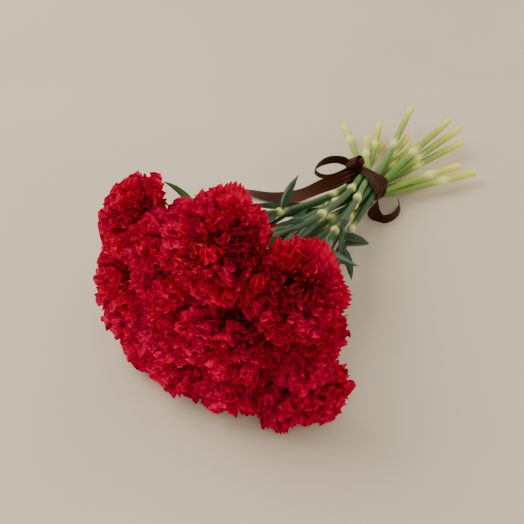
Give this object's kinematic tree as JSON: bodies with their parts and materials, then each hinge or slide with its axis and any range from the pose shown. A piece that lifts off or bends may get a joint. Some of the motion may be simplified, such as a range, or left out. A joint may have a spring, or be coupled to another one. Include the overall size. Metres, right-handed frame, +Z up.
{
  "type": "bunch of carnations",
  "caption": "Bunch of cut red double carnations lying on its side, heads packed in a dome, leafy green stems crossing at a brown satin ribbon tie with a loop and two free ends.",
  "frame": {"origin": "on the surface the bunch lies on, under the middle of its bounding box", "axes": "+Z up; -Y from the tie toward the flower heads, +Y toward the cut stem ends; +X to the right for someone who faces the heads"},
  "size_m": [0.257, 0.46, 0.2141],
  "materials": {
    "petals": "matt velvety petal",
    "stems": "smooth waxy green stem, calyx and leaf",
    "ribbon": "satin weave"
  },
  "bodies": {
    "root": {"bloom_01": "petals", "bloom_02": "petals", "bloom_03": "petals", "bloom_04": "petals", "bloom_05": "petals", "bloom_06": "petals", "bloom_07": "petals", "bloom_08": "petals", "bloom_09": "petals", "bloom_10": "petals", "bloom_11": "petals", "bloom_12": "petals", "bloom_13": "petals", "bloom_14": "petals", "stem_01": "stems", "stem_02": "stems", "stem_03": "stems", "stem_04": "stems", "stem_05": "stems", "stem_06": "stems", "stem_07": "stems", "stem_08": "stems", "stem_09": "stems", "stem_10": "stems", "stem_11": "stems", "stem_12": "stems", "stem_13": "stems", "stem_14": "stems", "ribbon_wrap": "ribbon", "ribbon_knot": "ribbon", "ribbon_loop": "ribbon", "ribbon_end_left": "ribbon", "ribbon_end_right": "ribbon"}
  },
  "joints": []
}
